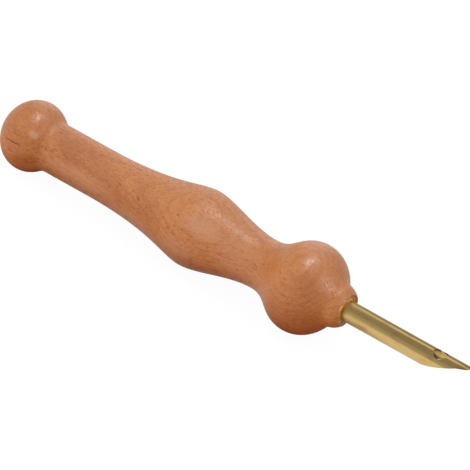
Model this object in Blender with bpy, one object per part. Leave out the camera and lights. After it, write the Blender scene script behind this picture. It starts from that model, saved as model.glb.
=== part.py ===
"""Punch needle: a turned beech handle with a bevelled brass tube glued into its nose.

Metres. The tool lies along +X with its point forward, centred on the origin. The eye is in the
upper wall of the needle (+Z) and the bevel opens downwards. Yarn enters the bore at the rear knob,
runs through the handle and the tube, and leaves by the bevel and the eye.
"""

import math

import bmesh
import bpy
from mathutils import Matrix, Vector

# Rear knob of the handle: an ellipse turned about the axis, cut flat round the mouth of the bore
KNOB_DIAMETER = 0.0203
KNOB_LENGTH = 0.0179
KNOB_FILLET = 0.0016
REAR_LAND = 0.0009

# Shaft, grip and neck: lengths run from knob centre to swell, crest, neck and ball centre
SHAFT_DIAMETER = 0.0143
SHAFT_LENGTH = 0.02256
GRIP_DIAMETER = 0.0228
SWELL_LENGTH = 0.0338
TAPER_LENGTH = 0.02175
NECK_DIAMETER = 0.0146
NECK_LENGTH = 0.01415
NECK_FILLET = 0.0036

# Front ball, slightly oblate, and the domed nose that stands out of it
BALL_DIAMETER = 0.0262
BALL_LENGTH = 0.0225
NOSE_DIAMETER = 0.0129
NOSE_REACH = 0.01425
NOSE_FILLET = 0.0015
NOSE_LAND = 0.0002

# Needle: standard thin brass tube, with its seat in the nose
NEEDLE_DIAMETER = 0.006
NEEDLE_WALL = 0.0005
NEEDLE_REACH = 0.039
SEAT_DEPTH = 0.032
SEAT_CLEARANCE = 0.0003
BEVEL_LENGTH = 0.0157
TONGUE_LENGTH = 0.0033
TONGUE_DEPTH = 0.00076
TIP_LAND = 0.00008
EYE_DIAMETER = 0.0043
EYE_SETBACK = 0.0095

# Yarn bore through the handle, eased at its mouth
YARN_BORE_DIAMETER = 0.006
MOUTH_CHAMFER = 0.0004

# Ring of glue round the root of the needle, hollow like a meniscus
BEAD_WIDTH = 0.001
BEAD_HEIGHT = 0.0013
BEAD_EDGE = 0.0003
BEAD_CLEARANCE = 0.0003

# Shares of a stretch's own length over which its curve stays level at each end
SWELL_EASE = (0.655, 0.16)
TAPER_EASE = (0.25, 0.355)
FILLET_EASE = (0.42, 0.38)
# Share of a step in radius that a fillet may climb at most
FILLET_LIMIT = 0.9

# Facets round each turned piece, and points along each kind of stretch in a profile
FACETS = 32
ARC_POINTS = 16
FLANK_POINTS = 16
FILLET_POINTS = 6
CUTTER_MARGIN = 0.002
SAME_POINT = 1e-6
SMOOTH_ANGLE = math.radians(35)

# Radii and stations along the axis that follow from the sizes above, from rear to point
KNOB_RADIUS = KNOB_DIAMETER / 2
SHAFT_RADIUS = SHAFT_DIAMETER / 2
GRIP_RADIUS = GRIP_DIAMETER / 2
NECK_RADIUS = NECK_DIAMETER / 2
BALL_RADIUS = BALL_DIAMETER / 2
NOSE_RADIUS = NOSE_DIAMETER / 2
NEEDLE_RADIUS = NEEDLE_DIAMETER / 2
SEAT_RADIUS = NEEDLE_RADIUS + SEAT_CLEARANCE
BORE_RADIUS = YARN_BORE_DIAMETER / 2
MOUTH_RADIUS = BORE_RADIUS + MOUTH_CHAMFER
REAR_RADIUS = MOUTH_RADIUS + REAR_LAND
BEAD_RADIUS = NEEDLE_RADIUS + BEAD_CLEARANCE + BEAD_WIDTH
NOSE_FACE_RADIUS = BEAD_RADIUS + NOSE_LAND

REAR_TO_KNOB = KNOB_LENGTH / 2 * math.sqrt(1 - (REAR_RADIUS / KNOB_RADIUS) ** 2)
REAR_TO_NOSE = REAR_TO_KNOB + SHAFT_LENGTH + SWELL_LENGTH + TAPER_LENGTH + NECK_LENGTH + NOSE_REACH
OVERALL_LENGTH = REAR_TO_NOSE + NEEDLE_REACH

REAR_X = -OVERALL_LENGTH / 2
KNOB_X = REAR_X + REAR_TO_KNOB
SWELL_X = KNOB_X + SHAFT_LENGTH
CREST_X = SWELL_X + SWELL_LENGTH
NECK_X = CREST_X + TAPER_LENGTH
BALL_X = NECK_X + NECK_LENGTH
NOSE_FACE_X = BALL_X + NOSE_REACH
SHOULDER_X = NOSE_FACE_X - SEAT_DEPTH
TIP_X = NOSE_FACE_X + NEEDLE_REACH

AXIS = Vector((1, 0, 0))


class Ellipse:
    """Half of an ellipse above the axis, as a knob or ball is turned: points are (x, radius)."""

    def __init__(self, centre, half_length, radius):
        self.centre = centre
        self.half_length = half_length
        self.radius = radius

    def angle_at_radius(self, radius, in_front):
        """Angle from the front pole of the point at this radius, ahead of the centre or behind it."""
        angle = math.asin(radius / self.radius)
        return angle if in_front else math.pi - angle

    def angle_at_x(self, x):
        return math.acos((x - self.centre) / self.half_length)

    def point(self, angle):
        return Vector((self.centre + self.half_length * math.cos(angle), self.radius * math.sin(angle)))

    def forward(self, angle):
        """Direction of the curve at this angle, towards the front."""
        return Vector((self.half_length * math.sin(angle), -self.radius * math.cos(angle))).normalized()

    def arc(self, first, last):
        """Points from one angle to another."""
        steps = ARC_POINTS - 1
        return [self.point(first + (last - first) * step / steps) for step in range(ARC_POINTS)]


def flank(start, start_direction, end, end_direction, reaches, count):
    """Points of a cubic curve that leaves the start and meets the end in the given directions."""
    leave = start + start_direction * reaches[0]
    meet = end - end_direction * reaches[1]
    points = []
    for step in range(count):
        u = step / (count - 1)
        v = 1 - u
        points.append(v**3 * start + 3 * v * v * u * leave + 3 * v * u * u * meet + u**3 * end)
    return points


def level_flank(start, end, eases):
    """A flank that is level at both ends, eased over shares of its own length."""
    length = end.x - start.x
    level = Vector((1, 0))
    return flank(start, level, end, level, [length * ease for ease in eases], FLANK_POINTS)


def fillet(start, start_direction, end, end_direction, count=FILLET_POINTS):
    """A hollow between two curves, eased over shares of the distance that it spans."""
    span = (end - start).length
    return flank(start, start_direction, end, end_direction, [span * ease for ease in FILLET_EASE], count)


def climb(wanted, low_radius, high_radius):
    """How far a fillet climbs from one radius towards a larger one, limited by the step between them."""
    return min(wanted, FILLET_LIMIT * (high_radius - low_radius))


def handle_outline():
    """Outer profile of the handle from the rear land to the nose face, as (x, radius) points."""
    level = Vector((1, 0))
    knob = Ellipse(KNOB_X, KNOB_LENGTH / 2, KNOB_RADIUS)
    ball = Ellipse(BALL_X, BALL_LENGTH / 2, BALL_RADIUS)
    nose_x = ball.point(ball.angle_at_radius(NOSE_RADIUS, True)).x
    nose_share = math.sqrt(1 - (NOSE_FACE_RADIUS / NOSE_RADIUS) ** 2)
    nose = Ellipse(nose_x, (NOSE_FACE_X - nose_x) / nose_share, NOSE_RADIUS)

    rear = knob.angle_at_radius(REAR_RADIUS, False)
    knob_climb = climb(KNOB_FILLET, SHAFT_RADIUS, KNOB_RADIUS)
    knob_end = knob.angle_at_radius(SHAFT_RADIUS + knob_climb, True)
    shaft_x = knob.point(knob.angle_at_radius(SHAFT_RADIUS, True)).x + knob_climb
    shaft_start = Vector((shaft_x, SHAFT_RADIUS))

    swell = Vector((SWELL_X, SHAFT_RADIUS))
    crest = Vector((CREST_X, GRIP_RADIUS))
    neck = Vector((NECK_X, NECK_RADIUS))

    neck_climb = climb(NECK_FILLET, NECK_RADIUS, BALL_RADIUS)
    ball_start = ball.angle_at_radius(NECK_RADIUS + neck_climb, False)
    nose_climb = climb(NOSE_FILLET, NOSE_RADIUS, BALL_RADIUS)
    ball_end = ball.angle_at_radius(NOSE_RADIUS + nose_climb, True)
    nose_start = nose.angle_at_x(nose_x + nose_climb)
    nose_end = nose.angle_at_radius(NOSE_FACE_RADIUS, True)

    stretches = [
        knob.arc(rear, knob_end),
        fillet(knob.point(knob_end), knob.forward(knob_end), shaft_start, level),
        level_flank(swell, crest, SWELL_EASE),
        level_flank(crest, neck, TAPER_EASE),
        fillet(neck, level, ball.point(ball_start), ball.forward(ball_start), FLANK_POINTS),
        ball.arc(ball_start, ball_end),
        fillet(ball.point(ball_end), ball.forward(ball_end), nose.point(nose_start), nose.forward(nose_start)),
        nose.arc(nose_start, nose_end),
    ]
    outline = [stretches[0][0]]
    for stretch in stretches:
        outline += [point for point in stretch if (point - outline[-1]).length > SAME_POINT]
    return outline


def material(name, colour, roughness, metallic=0.0):
    made = bpy.data.materials.new(name)
    made.use_nodes = True
    shader = made.node_tree.nodes["Principled BSDF"]
    shader.inputs["Base Color"].default_value = (*colour, 1)
    shader.inputs["Roughness"].default_value = roughness
    shader.inputs["Metallic"].default_value = metallic
    return made


def piece(name, bm, parent, finish=None):
    """Turn a bmesh into an object of its own under the tool's empty."""
    mesh = bpy.data.meshes.new(name)
    bm.to_mesh(mesh)
    bm.free()
    mesh.shade_smooth()
    mesh.set_sharp_from_angle(angle=SMOOTH_ANGLE)
    made = bpy.data.objects.new(name, mesh)
    bpy.context.scene.collection.objects.link(made)
    made.parent = parent
    if finish:
        mesh.materials.append(finish)
    return made


def turned(section):
    """Spin a closed section of (x, radius) points about the axis, with flats facing up and down."""
    bm = bmesh.new()
    half_facet = Matrix.Rotation(math.pi / FACETS, 3, AXIS)
    points = [bm.verts.new(half_facet @ Vector((x, 0, radius))) for x, radius in section]
    loop = [bm.edges.new((point, points[index - 1])) for index, point in enumerate(points)]
    bmesh.ops.spin(
        bm, geom=points + loop, cent=(0, 0, 0), axis=AXIS, angle=2 * math.pi, steps=FACETS, use_merge=True
    )
    bmesh.ops.recalc_face_normals(bm, faces=bm.faces)
    return bm


def cut(target, name, bm, parent):
    """Take a helper solid away from a piece."""
    cutter = piece(name, bm, parent)
    cutter.hide_render = True
    cutter.display_type = "WIRE"
    modifier = target.modifiers.new(name, "BOOLEAN")
    modifier.operation = "DIFFERENCE"
    modifier.solver = "EXACT"
    modifier.object = cutter


def make_handle(parent):
    """Beech handle: the turned outline, the needle's seat, its shoulder and the yarn bore."""
    bores = [
        Vector((NOSE_FACE_X, SEAT_RADIUS)),
        Vector((SHOULDER_X, SEAT_RADIUS)),
        Vector((SHOULDER_X, BORE_RADIUS)),
        Vector((REAR_X + MOUTH_CHAMFER, BORE_RADIUS)),
        Vector((REAR_X, MOUTH_RADIUS)),
    ]
    beech = material("varnished_beech", (0.47, 0.19, 0.075), 0.35)
    piece("handle", turned(handle_outline() + bores), parent, beech)


def make_needle(parent):
    """Brass tube standing on the shoulder of its seat, with a ground bevel and a drilled eye."""
    root_x = SHOULDER_X + SEAT_CLEARANCE
    inner = NEEDLE_RADIUS - NEEDLE_WALL
    section = [(root_x, NEEDLE_RADIUS), (TIP_X, NEEDLE_RADIUS), (TIP_X, inner), (root_x, inner)]
    needle = piece("needle", turned(section), parent, material("brass", (0.69, 0.49, 0.18), 0.2, 1.0))

    # The bevel rises from the lower wall to a knee, and runs out flatter along the tongue to the point
    heel = Vector((TIP_X - BEVEL_LENGTH, -NEEDLE_RADIUS))
    knee = Vector((TIP_X - TONGUE_LENGTH, NEEDLE_RADIUS - TONGUE_DEPTH))
    point = Vector((TIP_X, NEEDLE_RADIUS - TIP_LAND))
    run_in = heel + (heel - knee).normalized() * CUTTER_MARGIN
    run_out = point + (point - knee).normalized() * CUTTER_MARGIN
    below = Vector((run_out.x, run_in.y - CUTTER_MARGIN))
    side = NEEDLE_RADIUS + CUTTER_MARGIN
    bevel = bmesh.new()
    profile = [bevel.verts.new((x, -side, z)) for x, z in (run_in, knee, run_out, below)]
    across = bmesh.ops.extrude_face_region(bevel, geom=[bevel.faces.new(profile)])
    moved = [item for item in across["geom"] if isinstance(item, bmesh.types.BMVert)]
    bmesh.ops.translate(bevel, verts=moved, vec=(0, 2 * side, 0))
    bmesh.ops.recalc_face_normals(bevel, faces=bevel.faces)
    cut(needle, "bevel_cutter", bevel, parent)

    # The eye is drilled from above, down to the axis, so it goes through the upper wall alone
    depth = NEEDLE_RADIUS + CUTTER_MARGIN
    eye = bmesh.new()
    bmesh.ops.create_cone(
        eye,
        cap_ends=True,
        segments=FACETS,
        radius1=EYE_DIAMETER / 2,
        radius2=EYE_DIAMETER / 2,
        depth=depth,
        matrix=Matrix.Translation((TIP_X - EYE_SETBACK, 0, depth / 2)),
    )
    cut(needle, "eye_cutter", eye, parent)


def make_adhesive_bead(parent):
    """Glue squeezed out round the needle, highest against the tube and thin at its outer edge."""
    foot_x = NOSE_FACE_X + BEAD_CLEARANCE
    inner = NEEDLE_RADIUS + BEAD_CLEARANCE
    edge = Vector((foot_x + BEAD_EDGE, BEAD_RADIUS))
    crown = Vector((foot_x + BEAD_HEIGHT, inner))
    hollow = fillet(edge, Vector((0, -1)), crown, Vector((1, 0)))
    section = [Vector((foot_x, inner)), Vector((foot_x, BEAD_RADIUS))] + hollow
    glue = material("clear_glue", (0.45, 0.24, 0.06), 0.12)
    piece("adhesive_bead", turned(section), parent, glue)


def main():
    for existing in list(bpy.data.objects):
        bpy.data.objects.remove(existing)
    tool = bpy.data.objects.new("punch_needle", None)
    bpy.context.scene.collection.objects.link(tool)
    make_handle(tool)
    make_needle(tool)
    make_adhesive_bead(tool)


main()
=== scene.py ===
"""Looks of a punch needle: a varnished beech handle with a bevelled brass tube glued into its nose.

The tool lies along +X with its point forward, the eye is in the upper wall of the needle (+Z) and the
bevel opens downwards. Sizes are in millimetres, and the meshes are written in the frame's metres.
An angle round the axis is measured from the top (+Z) towards the near side (-Y). A ramp is two values
between which a level changes, and the levels at its two ends where they aren't 0 and 1.
"""

import logging
import math
from collections.abc import Callable
from dataclasses import dataclass
from enum import Enum
from functools import partial
from typing import Any

import bpy
import numpy as np
from mathutils import Matrix, Vector


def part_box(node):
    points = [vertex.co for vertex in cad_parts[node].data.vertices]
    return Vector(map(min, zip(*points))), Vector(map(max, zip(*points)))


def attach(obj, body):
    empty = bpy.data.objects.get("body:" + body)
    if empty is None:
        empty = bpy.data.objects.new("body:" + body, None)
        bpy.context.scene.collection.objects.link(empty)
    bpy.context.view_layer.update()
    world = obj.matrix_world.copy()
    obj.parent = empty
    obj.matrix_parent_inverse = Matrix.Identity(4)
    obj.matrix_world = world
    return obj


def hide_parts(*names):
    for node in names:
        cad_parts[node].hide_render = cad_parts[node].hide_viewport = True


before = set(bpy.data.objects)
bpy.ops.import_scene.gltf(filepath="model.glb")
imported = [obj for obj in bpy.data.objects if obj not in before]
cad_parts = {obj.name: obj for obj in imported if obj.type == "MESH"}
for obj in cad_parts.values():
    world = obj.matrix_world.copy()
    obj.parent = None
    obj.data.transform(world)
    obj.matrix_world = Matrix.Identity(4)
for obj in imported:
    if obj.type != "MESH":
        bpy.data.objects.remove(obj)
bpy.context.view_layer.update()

Array = np.ndarray
Socket = bpy.types.NodeSocket
Adder = Callable[..., bpy.types.NodeOutputs]
Pair = tuple[float, float]
Triple = tuple[float, float, float]
Ramp = tuple[float, ...]

MM = 0.001
BODY = "root"
# Points nearer than this, in millimetres, are one point of a mesh
WELD = 1e-4
SMOOTH_ANGLE = math.radians(35)
# Settings that many nodes share
SMOOTH = {"interpolation_type": "SMOOTHSTEP"}
COLOURS = {"data_type": "RGBA"}
TIMES = {"operation": "MULTIPLY"}
LENGTH = {"operation": "LENGTH"}
# Keeps what a vector has across the axis or the grain
ACROSS = (0, 1, 1)
LOG = logging.getLogger("punch_needle")


class Node(Enum):
    """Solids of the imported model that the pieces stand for."""

    HANDLE = "handle"
    NEEDLE = "needle"
    BEAD = "adhesive_bead"

    def ends(self) -> Pair:
        """Lowest and highest station of the solid along the axis, in millimetres."""
        low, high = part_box(self.value)
        return low.x / MM, high.x / MM


class Slot(Enum):
    """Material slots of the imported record."""

    BEECH = "beech"
    BRASS = "brass"
    GLUE = "glue"


def linear(colour: str) -> tuple[float, float, float, float]:
    """Turn an sRGB hex colour into linear light.

    Args:
        colour: Six hex digits after a hash sign.

    Returns:
        Red, green and blue in linear light, and full opacity.
    """
    encoded = np.array([int(colour[place : place + 2], 16) for place in (1, 3, 5)]) / 255
    light = np.where(encoded <= 0.04045, encoded / 12.92, ((encoded + 0.055) / 1.055) ** 2.4)
    return (*light.tolist(), 1.0)


def add_node(
    tree: bpy.types.NodeTree, kind: str, settings: dict[str, Any], inputs: dict[Any, Any] | tuple[Any, ...]
) -> bpy.types.NodeOutputs:
    """Add a node with its settings and links.

    Args:
        tree: Node tree of a material or of the world.
        kind: Blender's name of the node type, without its ShaderNode prefix.
        settings: Values of the node's own properties.
        inputs: Values, or the outputs that feed them, by name or place of the input, or in their order.

    Returns:
        The new node's outputs.
    """
    node = tree.nodes.new("ShaderNode" + kind)
    for name, value in settings.items():
        setattr(node, name, value)
    for key, value in inputs.items() if isinstance(inputs, dict) else enumerate(inputs):
        if isinstance(value, Socket):
            tree.links.new(value, node.inputs[key])
        else:
            node.inputs[key].default_value = value
    return node.outputs


def sight(add: Adder) -> tuple[Socket, Socket]:
    """Tell the rays of the camera and of mirrors from those of plain light.

    Args:
        add: Adds a node to a material or to the world.

    Returns:
        Whether the camera sees a place, also through a clear surface, and whether a mirror does.
    """
    rays = add("LightPath", {}, {})
    direct = (rays["Is Camera Ray"], rays["Is Transmission Ray"])
    seen = add("Math", {"operation": "MAXIMUM"}, direct)[0]
    return seen, rays["Is Glossy Ray"]


def empty_material(name: str) -> tuple[bpy.types.Material, Adder]:
    """Make a material whose node tree is still empty.

    Args:
        name: What the material is.

    Returns:
        The material, and the function that adds a node to it.
    """
    material = bpy.data.materials.new(name)
    material.use_nodes = True
    material.node_tree.nodes.clear()
    return material, partial(add_node, material.node_tree)


@dataclass(frozen=True)
class Patch:
    """A grid of points, in millimetres, that becomes quads.

    The normal points along the step to the next column crossed with the step to the next row.

    Attributes:
        points: Array of rows by columns by three.
        ring: Whether the last column joins the first.
        loop: Whether the last row joins the first.
    """

    points: Array
    ring: bool = True
    loop: bool = False

    def quads(self, first: int) -> Array:
        """Corner numbers of the quads.

        Args:
            first: Number of the patch's first point.

        Returns:
            Array of quads by four.
        """
        rows, columns = self.points.shape[:2]
        number = first + np.arange(rows * columns).reshape(rows, columns)
        if self.ring:
            number = np.hstack([number, number[:, :1]])
        if self.loop:
            number = np.vstack([number, number[:1]])
        corners = [number[:-1, :-1], number[:-1, 1:], number[1:, 1:], number[1:, :-1]]
        return np.stack(corners, axis=-1).reshape(-1, 4)


def make_piece(name: str, patches: list[Patch], material: bpy.types.Material) -> bpy.types.Object:
    """Weld patches into one closed mesh at the origin.

    Args:
        name: Name of the piece.
        patches: Grids whose shared borders have the same points.
        material: Finish of the whole piece.

    Returns:
        The object, linked into the scene and shaded smooth between its sharp edges.
    """
    points = np.vstack([patch.points.reshape(-1, 3) for patch in patches])
    firsts = np.cumsum([0] + [patch.points.size // 3 for patch in patches])
    quads = np.vstack([patch.quads(first) for patch, first in zip(patches, firsts)])
    cells = np.round(points / WELD).astype(np.int64)
    _, kept, place = np.unique(cells, axis=0, return_index=True, return_inverse=True)
    mesh = bpy.data.meshes.new(name)
    mesh.from_pydata((points[kept] * MM).tolist(), [], place.reshape(-1)[quads].tolist())
    mesh.shade_smooth()
    mesh.set_sharp_from_angle(angle=SMOOTH_ANGLE)
    mesh.materials.append(material)
    piece = bpy.data.objects.new(name, mesh)
    bpy.context.scene.collection.objects.link(piece)
    return piece


def hand_in(piece: bpy.types.Object, node: Node) -> None:
    """Let a piece stand for its solid and move with it.

    Args:
        piece: The finished piece.
        node: Solid that it stands for.
    """
    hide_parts(node.value)
    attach(piece, BODY)
    LOG.info("%s: %d faces, in place of %s", piece.name, len(piece.data.polygons), node.value)


def turn(outline: Array, angles: Array) -> Array:
    """Carry rows of (station, radius) round the axis, with a column of points at each angle."""
    station, radius = outline[:, :1], outline[:, 1:]
    return round_axis(station, radius, angles[None, :])


def round_axis(station: Array, radius: Array, angle: Array) -> Array:
    """Points at a station, radius and angle: (station, -radius sin angle, radius cos angle)."""
    return np.stack(np.broadcast_arrays(station, -radius * np.sin(angle), radius * np.cos(angle)), axis=-1)


def whole_turn(count: int) -> Array:
    """Equal angles round the axis, without the last, which is the first again."""
    return np.linspace(0, 2 * math.pi, count, endpoint=False)


def cubic(points: list[Array], count: int) -> Array:
    """Bezier curve: four points weighted by v^3, 3 v^2 u, 3 v u^2 and u^3, with u from 0 to 1, v = 1 - u.

    Args:
        points: Start, the two points that the ends head for, and end.
        count: Number of points along the curve.

    Returns:
        Points along the curve, as rows.
    """
    u = np.linspace(0, 1, count)[:, None]
    v = 1 - u
    weights = [v**3, 3 * v**2 * u, 3 * v * u**2, u**3]
    return sum(weight * point for weight, point in zip(weights, points))


@dataclass(frozen=True)
class Ellipse:
    """Upper half of an ellipse on the axis, as a knob or ball is turned.

    Attributes:
        centre: Station of its centre.
        half_length: Half of its length along the axis.
        radius: Its largest radius.
    """

    centre: float
    half_length: float
    radius: float

    def angle_at_radius(self, radius: float, in_front: bool) -> float:
        """Angle from the front pole of the point at a radius, ahead of the centre or behind it."""
        angle = math.asin(radius / self.radius)
        return angle if in_front else math.pi - angle

    def angle_at_station(self, station: float) -> float:
        """Angle from the front pole of the point at a station."""
        return math.acos((station - self.centre) / self.half_length)

    def points(self, angles: Array | float) -> Array:
        """Points of (centre + half length times cosine, radius times sine)."""
        return np.stack(
            [self.centre + self.half_length * np.cos(angles), self.radius * np.sin(angles)], axis=-1
        )

    def heading(self, angle: float) -> Array:
        """Unit step along the curve towards the front, at an angle."""
        step = np.array([self.half_length * math.sin(angle), -self.radius * math.cos(angle)])
        return step / np.linalg.norm(step)

    def arc(self, first: float, last: float, count: int) -> Array:
        """Points from one angle to another."""
        return self.points(np.linspace(first, last, count))


class MarkKind(Enum):
    """What a mark is: a dark mark along a ring, which is a ray, a darker patch or painted shade; a crack;
    or a painted highlight.
    """

    FLECK_AND_SHADE = "fleck"
    CRACK = "crack"
    PAINTED_HIGHLIGHT = "worn"


@dataclass(frozen=True)
class Mark:
    """A mark on the wood: a ray, a crack, a darker patch, painted shade or a painted highlight.

    Attributes:
        station: Place along the axis.
        angle: Degrees from the top towards the near side.
        length: Size along the ring or the grain.
        width: Size across that.
        depth: Share of the mark's colour at its middle.
        kind: What it is.
    """

    station: float
    angle: float
    length: float
    width: float
    depth: float
    kind: MarkKind = MarkKind.FLECK_AND_SHADE


@dataclass(frozen=True)
class VarnishedBeech:
    """Steamed beech, turned, sanded and varnished: fine rings, short dark ray flecks and a satin skin.

    The growth rings are wide cylinders about a pith outside the handle. Rays are thin leaves that stand
    on the rings, so they show as dashes where the wood is cut along the rings, and as bands elsewhere.

    Attributes:
        pale, deep, late: Early wood in its two tones, and the dark end of each growth ring.
        fleck: The rays, and the dark marks: flecks, a crack, darker patches and painted shade.
        fibre_tint: What the dark fibres multiply the colour by.
        worn: Colour of the painted highlights and sheen: pale patches that stand for light on the varnish.
        ring_normal, pith: Direction from the pith to the handle, across the rings, and its distance.
        ring_width: Distance between rings.
        bend, bend_rings: Length and width of a bend in the rings, and how many rings it sways over.
        late_ramp: Late wood along the width of a ring.
        patch, patch_ramp: Length and width of a patch of deep tone, and that tone along its noise.
        ray, fibre: Size of a ray and of a bundle of fibres along the grain, along the rings and across.
        ray_heart, ray_draw: Ray towards the heart of its cell, and along the cell's random draw.
        fibre_ramp: Dark fibre along its noise.
        flat_sawn: Fibre that shows, as the surface turns to face away from the pith.
        mark_ramp: A mark from its rim to its middle, where its level is its own depth.
        rubbed: Station of the middle of the rubbed part, and how far off it starts to fade and ends.
        roughness: Of the rubbed part and of the rest.
        skin: Waves of the varnish to a millimetre.
        skin_bump, fibre_bump, bump_height: Strength of the relief of waves and fibres, and its height.
        ior: Index of refraction of the varnish.
    """

    pale: str = "#DD9051"
    deep: str = "#D58646"
    late: str = "#B8602E"
    fleck: str = "#84320A"
    fibre_tint: str = "#D69858"
    worn: str = "#F0BC98"
    ring_normal: Triple = (0.052, -0.573, 0.818)
    pith: float = 70.0
    ring_width: float = 1.2
    bend: Pair = (45.0, 10.0)
    bend_rings: float = 1.6
    late_ramp: Ramp = (0.45, 0.97, 0.0, 0.22)
    patch: Pair = (26.0, 9.0)
    patch_ramp: Ramp = (0.3, 0.7)
    ray: Triple = (2.4, 0.6, 6.0)
    ray_heart: Ramp = (0.42, 0.16)
    ray_draw: Ramp = (0.5, 1.0, 0.0, 0.3)
    fibre: Triple = (1.6, 0.42, 0.13)
    fibre_ramp: Ramp = (0.43, 0.76)
    flat_sawn: Ramp = (0.68, 0.97, 1.0, 0.6)
    mark_ramp: Ramp = (1.0, 0.3, 0.0)
    rubbed: Triple = (-28.0, 25.2, 42.0)
    roughness: Pair = (0.46, 0.36)
    skin: float = 0.55
    skin_bump: float = 0.5
    fibre_bump: float = 0.7
    bump_height: float = 0.05
    ior: float = 1.5

    def axes(self) -> Matrix:
        """Rotation from the part's axes to the wood's: along the grain, along the rings, across them."""
        across = Vector(self.ring_normal).normalized()
        rings = across.cross(Vector((1, 0, 0))).normalized()
        return Matrix((rings.cross(across), rings, across))

    def material(self, marks: list[tuple[Mark, Vector, Vector]]) -> bpy.types.Material:
        """Make the wood.

        Args:
            marks: The marks, each with its place in metres and the surface's normal there.

        Returns:
            The material.
        """
        material, add = empty_material("varnished_beech")
        place = add("TexCoord", {}, {})["Object"]
        # Wood coordinates in millimetres, with the pith at the origin
        lie = {"Scale": (1 / MM,) * 3, "Rotation": self.axes().to_euler(), "Location": (0, 0, self.pith)}
        wood = add("Mapping", {"vector_type": "POINT"}, {"Vector": place, **lie})[0]

        fibres, streaks = self.fibres(add, wood)
        # Dark marks are flecks, a crack, darker patches and painted shade; pale marks are painted
        # highlights and sheen
        dark = [row for row in marks if row[0].kind is not MarkKind.PAINTED_HIGHLIGHT]
        pale = [row for row in marks if row[0].kind is MarkKind.PAINTED_HIGHLIGHT]
        layers = (
            (self.rays(add, wood), "MIX", self.fleck),
            (streaks, "MULTIPLY", self.fibre_tint),
            (self.marks(add, place, dark), "MIX", self.fleck),
            (self.marks(add, place, pale), "MIX", self.worn),
        )
        colour = self.rings(add, wood)
        for share, blend, tint in layers:
            both = {0: share, 6: colour, 7: linear(tint)}
            colour = add("Mix", {**COLOURS, "blend_type": blend}, both)[2]

        # Fingers have rubbed the varnish of shaft and grip, so their highlights are broad and weak
        middle, first, last = (size * MM for size in self.rubbed)
        station = add("SeparateXYZ", {}, (place,))[0]
        apart = add("Math", {"operation": "SUBTRACT"}, (station, middle))[0]
        apart = add("Math", {"operation": "ABSOLUTE"}, (apart,))[0]
        gloss = add("MapRange", SMOOTH, (apart, first, last, *self.roughness))[0]
        noise = {"Vector": wood, "Scale": self.skin, "Detail": 2.0}
        skin = add("TexNoise", {}, noise)["Fac"]
        relief = {"Height": skin, "Strength": self.skin_bump, "Distance": self.bump_height * MM}
        swell = add("Bump", {}, relief)[0]
        relief |= {"Height": fibres, "Strength": self.fibre_bump, "Normal": swell}
        sunken = add("Bump", {"invert": True}, relief)[0]
        look = {"Base Color": colour, "Roughness": gloss, "IOR": self.ior, "Normal": sunken}
        shader = add("BsdfPrincipled", {}, look)
        add("OutputMaterial", {}, {"Surface": shader[0]})
        return material

    def rings(self, add: Adder, wood: Socket) -> Socket:
        """Colour of the growth rings: it fades from early to late wood and starts again at each ring.

        Args:
            add: Adds a node to the material.
            wood: Wood coordinates.

        Returns:
            The colour.
        """
        noises = []
        for (length, width), detail, roughness in ((self.bend, 4.0, 0.62), (self.patch, 2.0, 0.5)):
            grain = {"Vector": wood, "Scale": (1 / length, 1 / width, 1 / width)}
            drawn = add("Mapping", {}, grain)[0]
            noise = {"Vector": drawn, "Scale": 1.0, "Detail": detail, "Roughness": roughness}
            noises.append(add("TexNoise", {}, noise)["Fac"])
        sway, tone = noises
        cross = add("VectorMath", TIMES, (wood, ACROSS))[0]
        radius = add("VectorMath", LENGTH, (cross,))["Value"]
        swayed = (sway, self.bend_rings * self.ring_width, radius)
        phase = add("Math", {"operation": "MULTIPLY_ADD"}, swayed)[0]
        turns = add("Math", {"operation": "DIVIDE"}, (phase, self.ring_width))[0]
        share = add("Math", {"operation": "FRACT"}, (turns,))[0]
        late = add("MapRange", SMOOTH, (share, *self.late_ramp))[0]
        tone = add("MapRange", SMOOTH, (tone, *self.patch_ramp))[0]
        early = {0: tone, 6: linear(self.pale), 7: linear(self.deep)}
        both = {0: late, 6: add("Mix", COLOURS, early)[2], 7: linear(self.late)}
        return add("Mix", COLOURS, both)[2]

    def rays(self, add: Adder, wood: Socket) -> Socket:
        """Share of ray: the hearts of some cells, drawn out to the size of a ray.

        Args:
            add: Adds a node to the material.
            wood: Wood coordinates.

        Returns:
            The share.
        """
        leaf = {"Vector": wood, "Scale": [1 / size for size in self.ray]}
        leaves = add("Mapping", {}, leaf)[0]
        cells = add("TexVoronoi", {}, {"Vector": leaves, "Scale": 1.0})
        heart = add("MapRange", SMOOTH, (cells["Distance"], *self.ray_heart))[0]
        draw = add("SeparateColor", {}, (cells["Color"],))[0]
        chosen = add("MapRange", {}, (draw, *self.ray_draw))[0]
        return add("Math", TIMES, (heart, chosen))[0]

    def fibres(self, add: Adder, wood: Socket) -> tuple[Socket, Socket]:
        """Share of dark fibre: fine noise drawn out along the grain.

        Its colour shows least on the flat-sawn face, which looks away from the pith.

        Args:
            add: Adds a node to the material.
            wood: Wood coordinates.

        Returns:
            The share, and how much of it shows in the colour.
        """
        line = {"Vector": wood, "Scale": [1 / size for size in self.fibre]}
        lines = add("Mapping", {}, line)[0]
        noise = {"Vector": lines, "Scale": 1.0, "Detail": 2.0, "Roughness": 0.6, "Distortion": 0.6}
        grain = add("TexNoise", {}, noise)["Fac"]
        share = add("MapRange", SMOOTH, (grain, *self.fibre_ramp))[0]
        from_axis = {"Vector": wood, "Location": (0, 0, -self.pith), "Scale": ACROSS}
        outwards = add("Mapping", {}, from_axis)[0]
        outwards = add("VectorMath", {"operation": "NORMALIZE"}, (outwards,))[0]
        facing = add("SeparateXYZ", {}, (outwards,))[2]
        shown = add("MapRange", SMOOTH, (facing, *self.flat_sawn))[0]
        return share, add("Math", TIMES, (share, shown))[0]

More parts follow.
